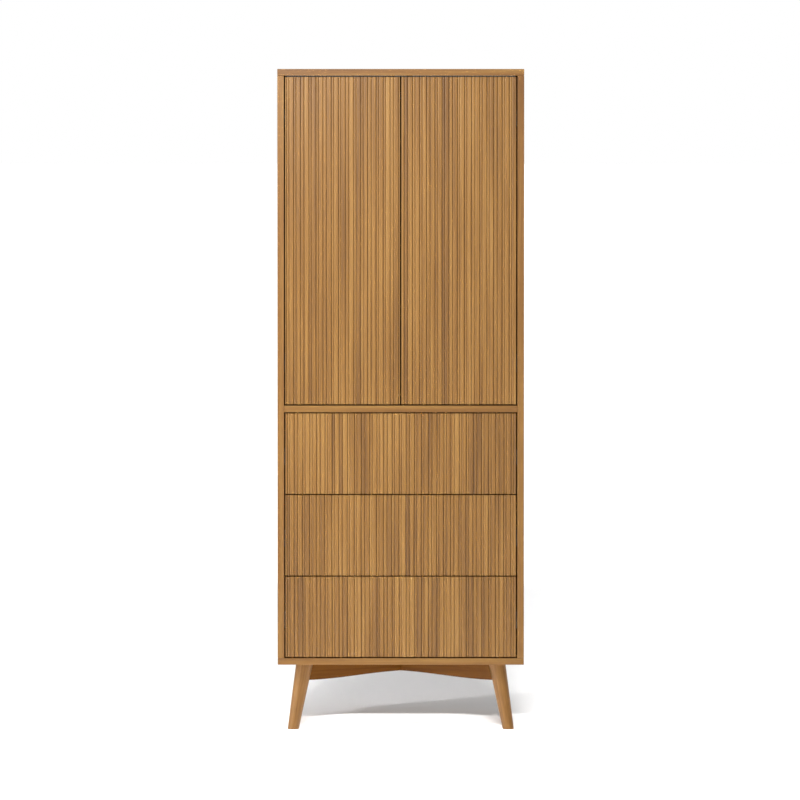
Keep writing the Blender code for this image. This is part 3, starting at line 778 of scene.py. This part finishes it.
def makeDrawerFixings():
    half = drawerScrews["board"] / 2
    for place in ("top", "middle", "bottom"):
        stem = "drawer_" + place + "_"
        body = bodyOf[stem + "front"]
        frontLow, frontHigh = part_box(stem + "box_front")
        heads = []
        for x in drawerScrews["frontPlaces"]:
            z = frontLow.z + drawerScrews["frontRise"]
            heads += [("board", (sign * x, frontHigh.y, z), (0, 1, 0)) for sign in (-1, 1)]
        for side, sign in (("left", -1), ("right", 1)):
            low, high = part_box(stem + "side_" + side)
            face = low.x if sign < 0 else high.x
            for rise in drawerScrews["rises"]:
                for y in (low.y + half, high.y - half):
                    heads.append(("board", (face, y, low.z + rise), (sign, 0, 0)))
            low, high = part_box(stem + "runner_sliding_" + side)
            crown = makeRunnerRib(stem + "runner_rib_" + side, low, high, sign, body)
            middle = (low.z + high.z) / 2
            heads += [("small", (crown, low.y + y, middle), (sign, 0, 0)) for y in runnerRib["screwPlaces"]]
        makeScrews(stem + "screws", body, heads)


makeCarcass()
print("stage 3: carcass made")
for flutedNode in fluting["firstGroove"]:
    makeFlutedFront(flutedNode)
print("stage 4: fluted fronts made")
makeLegs()
makeRails()
print("stage 5: base made")
makeDrawers()
makeHinges()
makeHangingRail()
makeLatches()
makeCarcassScrews()
makeBackScrews()
makeDrawerFixings()
print("stage 6: drawers and fittings made")

studio = {"floor": "#F5F5F5", "floorRadius": 150.0, "floorSides": 96, "skyStrength": 0.47,
          # a row of low suns that only the floor receives: together a wide, flat light that draws
          # the straight shadow under the carcass and fades it at the sides
          "sunAzimuths": (-4.5, -2.0, 0.5, 3.0, 5.5), "sunElevation": 18.6, "sunAngle": 2.2,
          "sunStrength": 1.90,
          # place, target, size in metres, power in watts
          "lights": {"topBox": ((-0.70, -2.50, 2.25), (-0.1, -0.25, 1.6), (0.6, 0.5), 38),
                     "sideBox": ((-2.20, -1.75, 1.85), (-0.1, -0.25, 1.5), (0.3, 0.5), 32),
                     "sideStrip": ((-2.30, -1.50, 0.60), (0.0, -0.25, 0.6), (0.4, 1.0), 22),
                     "overhead": ((-0.30, -1.10, 3.30), (0.0, -0.15, 1.5), (1.8, 1.2), 8)}}

# metres, degrees and, for the lens and sensor, millimetres
view = {"distance": 19.3, "height": 1.74, "pitch": 2.488, "lens": 319.9, "sensor": 36.0,
        "sideways": -0.002, "farthest": 500}


def makeFloor():
    shape = bmesh.new()
    bmesh.ops.create_circle(shape, cap_ends=True, segments=studio["floorSides"], radius=studio["floorRadius"])
    mesh = bpy.data.meshes.new("studioFloor")
    shape.to_mesh(mesh)
    shape.free()
    floor = bpy.data.objects.new("studioFloor", mesh)
    bpy.context.scene.collection.objects.link(floor)
    material, tree, shader = newMaterial("paleFloor")
    shader.inputs["Base Color"].default_value = hexToLinear(studio["floor"])
    shader.inputs["Roughness"].default_value = 1.0
    shader.inputs["Specular IOR Level"].default_value = 0.0
    mesh.materials.append(material)
    return floor


def placeLight(lamp, place, target):
    light = bpy.data.objects.new(lamp.name, lamp)
    light.location = place
    light.rotation_euler = (Vector(target) - Vector(place)).to_track_quat("-Z", "Y").to_euler()
    bpy.context.scene.collection.objects.link(light)
    return light


def makeLights(floor):
    for name, (place, target, size, power) in studio["lights"].items():
        lamp = bpy.data.lights.new(name, "AREA")
        lamp.shape = "RECTANGLE"
        lamp.size, lamp.size_y = size
        lamp.energy = power
        placeLight(lamp, place, target)
    floorOnly = bpy.data.collections.new("floorOnly")
    floorOnly.objects.link(floor)
    rise = math.tan(math.radians(studio["sunElevation"]))
    for azimuth in studio["sunAzimuths"]:
        lamp = bpy.data.lights.new("floorSun", "SUN")
        lamp.energy = studio["sunStrength"]
        lamp.angle = math.radians(studio["sunAngle"])
        toSun = Vector((-math.sin(math.radians(azimuth)), -math.cos(math.radians(azimuth)), rise))
        sun = placeLight(lamp, toSun, (0, 0, 0))
        sun.light_linking.receiver_collection = floorOnly


def makeSky():
    # plain white to the camera, whatever light it gives
    world = bpy.data.worlds.new("studio")
    bpy.context.scene.world = world
    world.use_nodes = True
    tree = world.node_tree
    sky = tree.nodes["Background"]
    sky.inputs["Color"].default_value = (1, 1, 1, 1)
    sky.inputs["Strength"].default_value = studio["skyStrength"]
    seen = addNode(tree, "ShaderNodeBackground", links={"Color": (1, 1, 1, 1), "Strength": 1.0})
    isSeen = addNode(tree, "ShaderNodeLightPath").outputs["Is Camera Ray"]
    choice = addNode(tree, "ShaderNodeMixShader", links={0: isSeen, 1: sky, 2: seen})
    tree.links.new(choice.outputs[0], tree.nodes["World Output"].inputs["Surface"])


def makeCamera():
    data = bpy.data.cameras.new("camera")
    data.lens = view["lens"]
    data.sensor_width = view["sensor"]
    data.clip_end = view["farthest"]
    camera = bpy.data.objects.new("camera", data)
    camera.location = (view["sideways"], cadLow.y - view["distance"], view["height"])
    camera.rotation_euler = (math.radians(90 - view["pitch"]), 0, 0)
    bpy.context.scene.collection.objects.link(camera)
    bpy.context.scene.camera = camera


makeSky()
bpy.context.scene.view_settings.view_transform = "Standard"
makeLights(makeFloor())
makeCamera()
print("stage 7: studio ready")

# broad faces stay flat to the eye, and only the eased edges turn the light
for piece in pieces:
    weighted = piece.modifiers.new("weightedNormals", "WEIGHTED_NORMAL")
    weighted.keep_sharp = True
print("stage 8:", len(pieces), "pieces finished")
